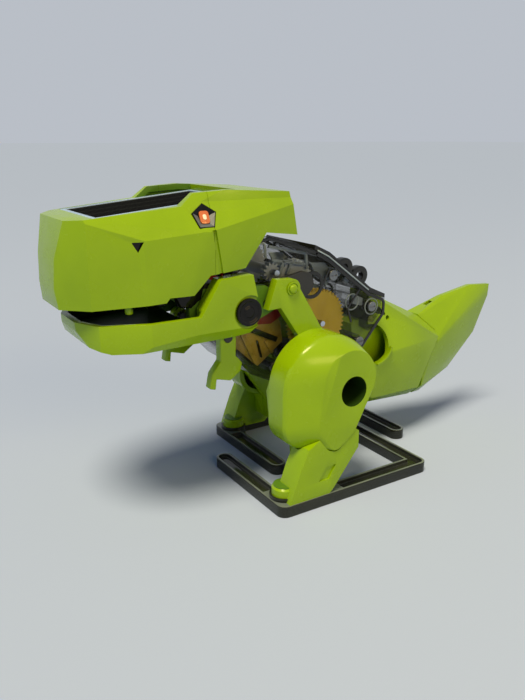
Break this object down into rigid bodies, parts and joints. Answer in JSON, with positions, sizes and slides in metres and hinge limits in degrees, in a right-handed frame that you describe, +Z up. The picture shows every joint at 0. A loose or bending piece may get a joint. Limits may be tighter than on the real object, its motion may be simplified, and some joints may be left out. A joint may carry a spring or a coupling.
{
  "type": "walking robot kit",
  "caption": "Solar walking dinosaur robot kit: faceted head with a panel roof, hinged jaw, geared gearbox and crank-driven legs on U-shaped feet.",
  "frame": {"origin": "middle of the robot's box at the level of the foot soles, midway between the two legs", "axes": "+Z up; +X to the robot's left, along every axle; -Y toward the snout, +Y toward the tail"},
  "size_m": [0.077, 0.2016, 0.1095],
  "materials": {
    "smoke_clear": "smoked clear, polished",
    "foot_smoke": "smoked dark, polished",
    "lime": "gloss",
    "dark_green": "gloss",
    "dark": "satin",
    "gloss_black": "gloss",
    "panel_black": "gloss",
    "panel_edge": "satin",
    "amber": "gloss",
    "steel": "satin",
    "white": "satin",
    "yellow": "satin",
    "dark_red": "satin",
    "brass": "satin",
    "red_wire": "satin",
    "black_wire": "satin"
  },
  "bodies": {
    "chassis": {"gearbox_side_left": "smoke_clear", "gearbox_side_right": "smoke_clear", "gearbox_spacers": "smoke_clear", "gearbox_screws": "steel", "chest_cover": "smoke_clear", "spine_frame": "smoke_clear", "rear_yoke": "smoke_clear", "motor_can": "steel", "motor_end_cap": "white", "motor_terminals": "brass", "neck_bracket_left": "dark_green", "neck_bracket_right": "dark_green", "head_frame": "dark", "snout_shell": "lime", "skull_shell": "lime", "mouth_pegs": "lime", "solar_panel": "panel_black", "solar_cells": "panel_black", "panel_bezel": "panel_edge", "eye_lenses": "amber", "tail_bracket": "smoke_clear", "tail_base": "lime", "tail_tip": "lime", "wire_red": "red_wire", "wire_black": "black_wire", "jaw_pin_left": "gloss_black", "jaw_pin_right": "gloss_black", "arm_peg_left": "dark", "arm_peg_right": "dark"},
    "jaw": {"jaw_shell": "lime"},
    "arm_left": {"arm_left": "lime"},
    "arm_right": {"arm_right": "lime"},
    "upper_crank": {"upper_axle": "steel", "upper_gear": "white", "upper_crank_arms": "dark", "upper_caps": "lime"},
    "lower_crank": {"lower_axle": "steel", "lower_gear": "white", "lower_crank_arms": "dark", "lower_caps": "dark"},
    "idler": {"idler_shaft": "steel", "idler_gear": "yellow"},
    "second_wheel": {"second_shaft": "steel", "second_gear": "white"},
    "first_wheel": {"first_shaft": "steel", "first_gear": "dark_red"},
    "rotor": {"motor_shaft": "steel", "motor_pinion": "brass"},
    "leg_left": {"leg_plate_left": "lime", "thigh_left": "lime", "shin_left": "lime", "foot_left": "foot_smoke", "leg_screws_left": "steel"},
    "leg_right": {"leg_plate_right": "lime", "thigh_right": "lime", "shin_right": "lime", "foot_right": "foot_smoke", "leg_screws_right": "steel"}
  },
  "joints": [
    {"name": "crank_spin", "type": "hinge", "parent": "chassis", "child": "upper_crank", "pos_m": [0, -0.0175, 0.0762], "axis": [1, 0, 0], "continuous": true},
    {"name": "lower_crank_spin", "type": "hinge", "parent": "chassis", "child": "lower_crank", "pos_m": [0, -0.0019, 0.041], "axis": [1, 0, 0], "continuous": true},
    {"name": "idler_spin", "type": "hinge", "parent": "chassis", "child": "idler", "pos_m": [0, -0.00685, 0.05986], "axis": [1, 0, 0], "continuous": true},
    {"name": "second_wheel_spin", "type": "hinge", "parent": "chassis", "child": "second_wheel", "pos_m": [0, -0.02701, 0.08064], "axis": [1, 0, 0], "continuous": true},
    {"name": "first_wheel_spin", "type": "hinge", "parent": "chassis", "child": "first_wheel", "pos_m": [0, -0.03268, 0.07121], "axis": [1, 0, 0], "continuous": true},
    {"name": "motor_spin", "type": "hinge", "parent": "chassis", "child": "rotor", "pos_m": [0, -0.03328, 0.05972], "axis": [1, 0, 0], "continuous": true},
    {"name": "leg_left_turn", "type": "hinge", "parent": "upper_crank", "child": "leg_left", "pos_m": [0, -0.025, 0.0762], "axis": [1, 0, 0], "continuous": true},
    {"name": "leg_right_turn", "type": "hinge", "parent": "upper_crank", "child": "leg_right", "pos_m": [0, -0.01, 0.0762], "axis": [1, 0, 0], "continuous": true},
    {"name": "jaw_hinge", "type": "hinge", "parent": "chassis", "child": "jaw", "pos_m": [0, -0.0436, 0.071], "axis": [1, 0, 0], "range_deg": [-5, 15]},
    {"name": "arm_left_swing", "type": "hinge", "parent": "chassis", "child": "arm_left", "pos_m": [0, -0.0484, 0.0616], "axis": [1, 0, 0], "range_deg": [-10, 20]},
    {"name": "arm_right_swing", "type": "hinge", "parent": "chassis", "child": "arm_right", "pos_m": [0, -0.0484, 0.0616], "axis": [1, 0, 0], "range_deg": [-10, 20]}
  ],
  "couplings": [
    {"joint": "lower_crank_spin", "follows": "crank_spin", "ratio": 1},
    {"joint": "idler_spin", "follows": "crank_spin", "ratio": -0.625},
    {"joint": "second_wheel_spin", "follows": "crank_spin", "ratio": -2.5},
    {"joint": "first_wheel_spin", "follows": "crank_spin", "ratio": 6.6667},
    {"joint": "motor_spin", "follows": "crank_spin", "ratio": -24},
    {"joint": "leg_left_turn", "follows": "crank_spin", "ratio": -1},
    {"joint": "leg_right_turn", "follows": "crank_spin", "ratio": -1}
  ]
}
